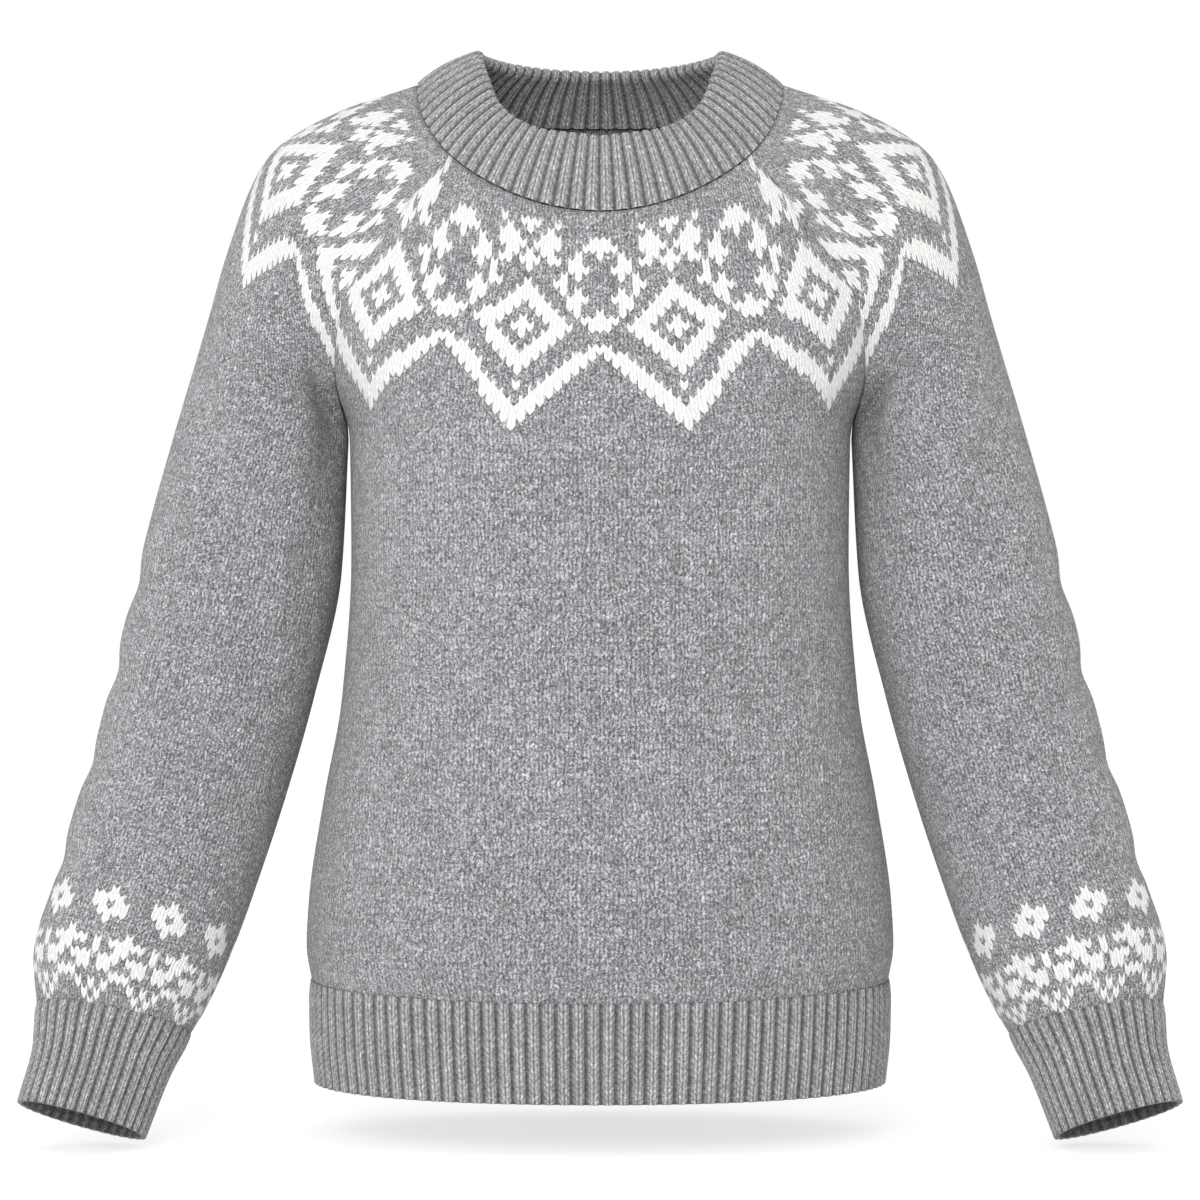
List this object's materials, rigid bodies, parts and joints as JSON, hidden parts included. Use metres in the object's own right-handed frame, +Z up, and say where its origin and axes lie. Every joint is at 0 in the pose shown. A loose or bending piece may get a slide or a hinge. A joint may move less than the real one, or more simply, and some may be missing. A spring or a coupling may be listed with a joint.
{
  "type": "fair isle sweater",
  "caption": "Hollow knitted raglan pullover with a patterned yoke, patterned lower sleeves, and a ribbed neckband, cuffs and hem, filled out as it is worn.",
  "frame": {"origin": "midway between the two shoulder points at the neck seam, on the wearer's shoulder line", "axes": "+X towards the wearer's left sleeve, -Y out of the garment's front, +Z up to the neck"},
  "size_m": [0.72, 0.2469, 0.6867],
  "materials": {
    "wool_knit": "matte",
    "wool_ribbing": "matte"
  },
  "bodies": {
    "root": {"front": "wool_knit", "back": "wool_knit", "sleeve_left": "wool_knit", "sleeve_right": "wool_knit", "neckband": "wool_ribbing", "hem_rib_front": "wool_ribbing", "hem_rib_back": "wool_ribbing", "cuff_left": "wool_ribbing", "cuff_right": "wool_ribbing"}
  },
  "joints": []
}
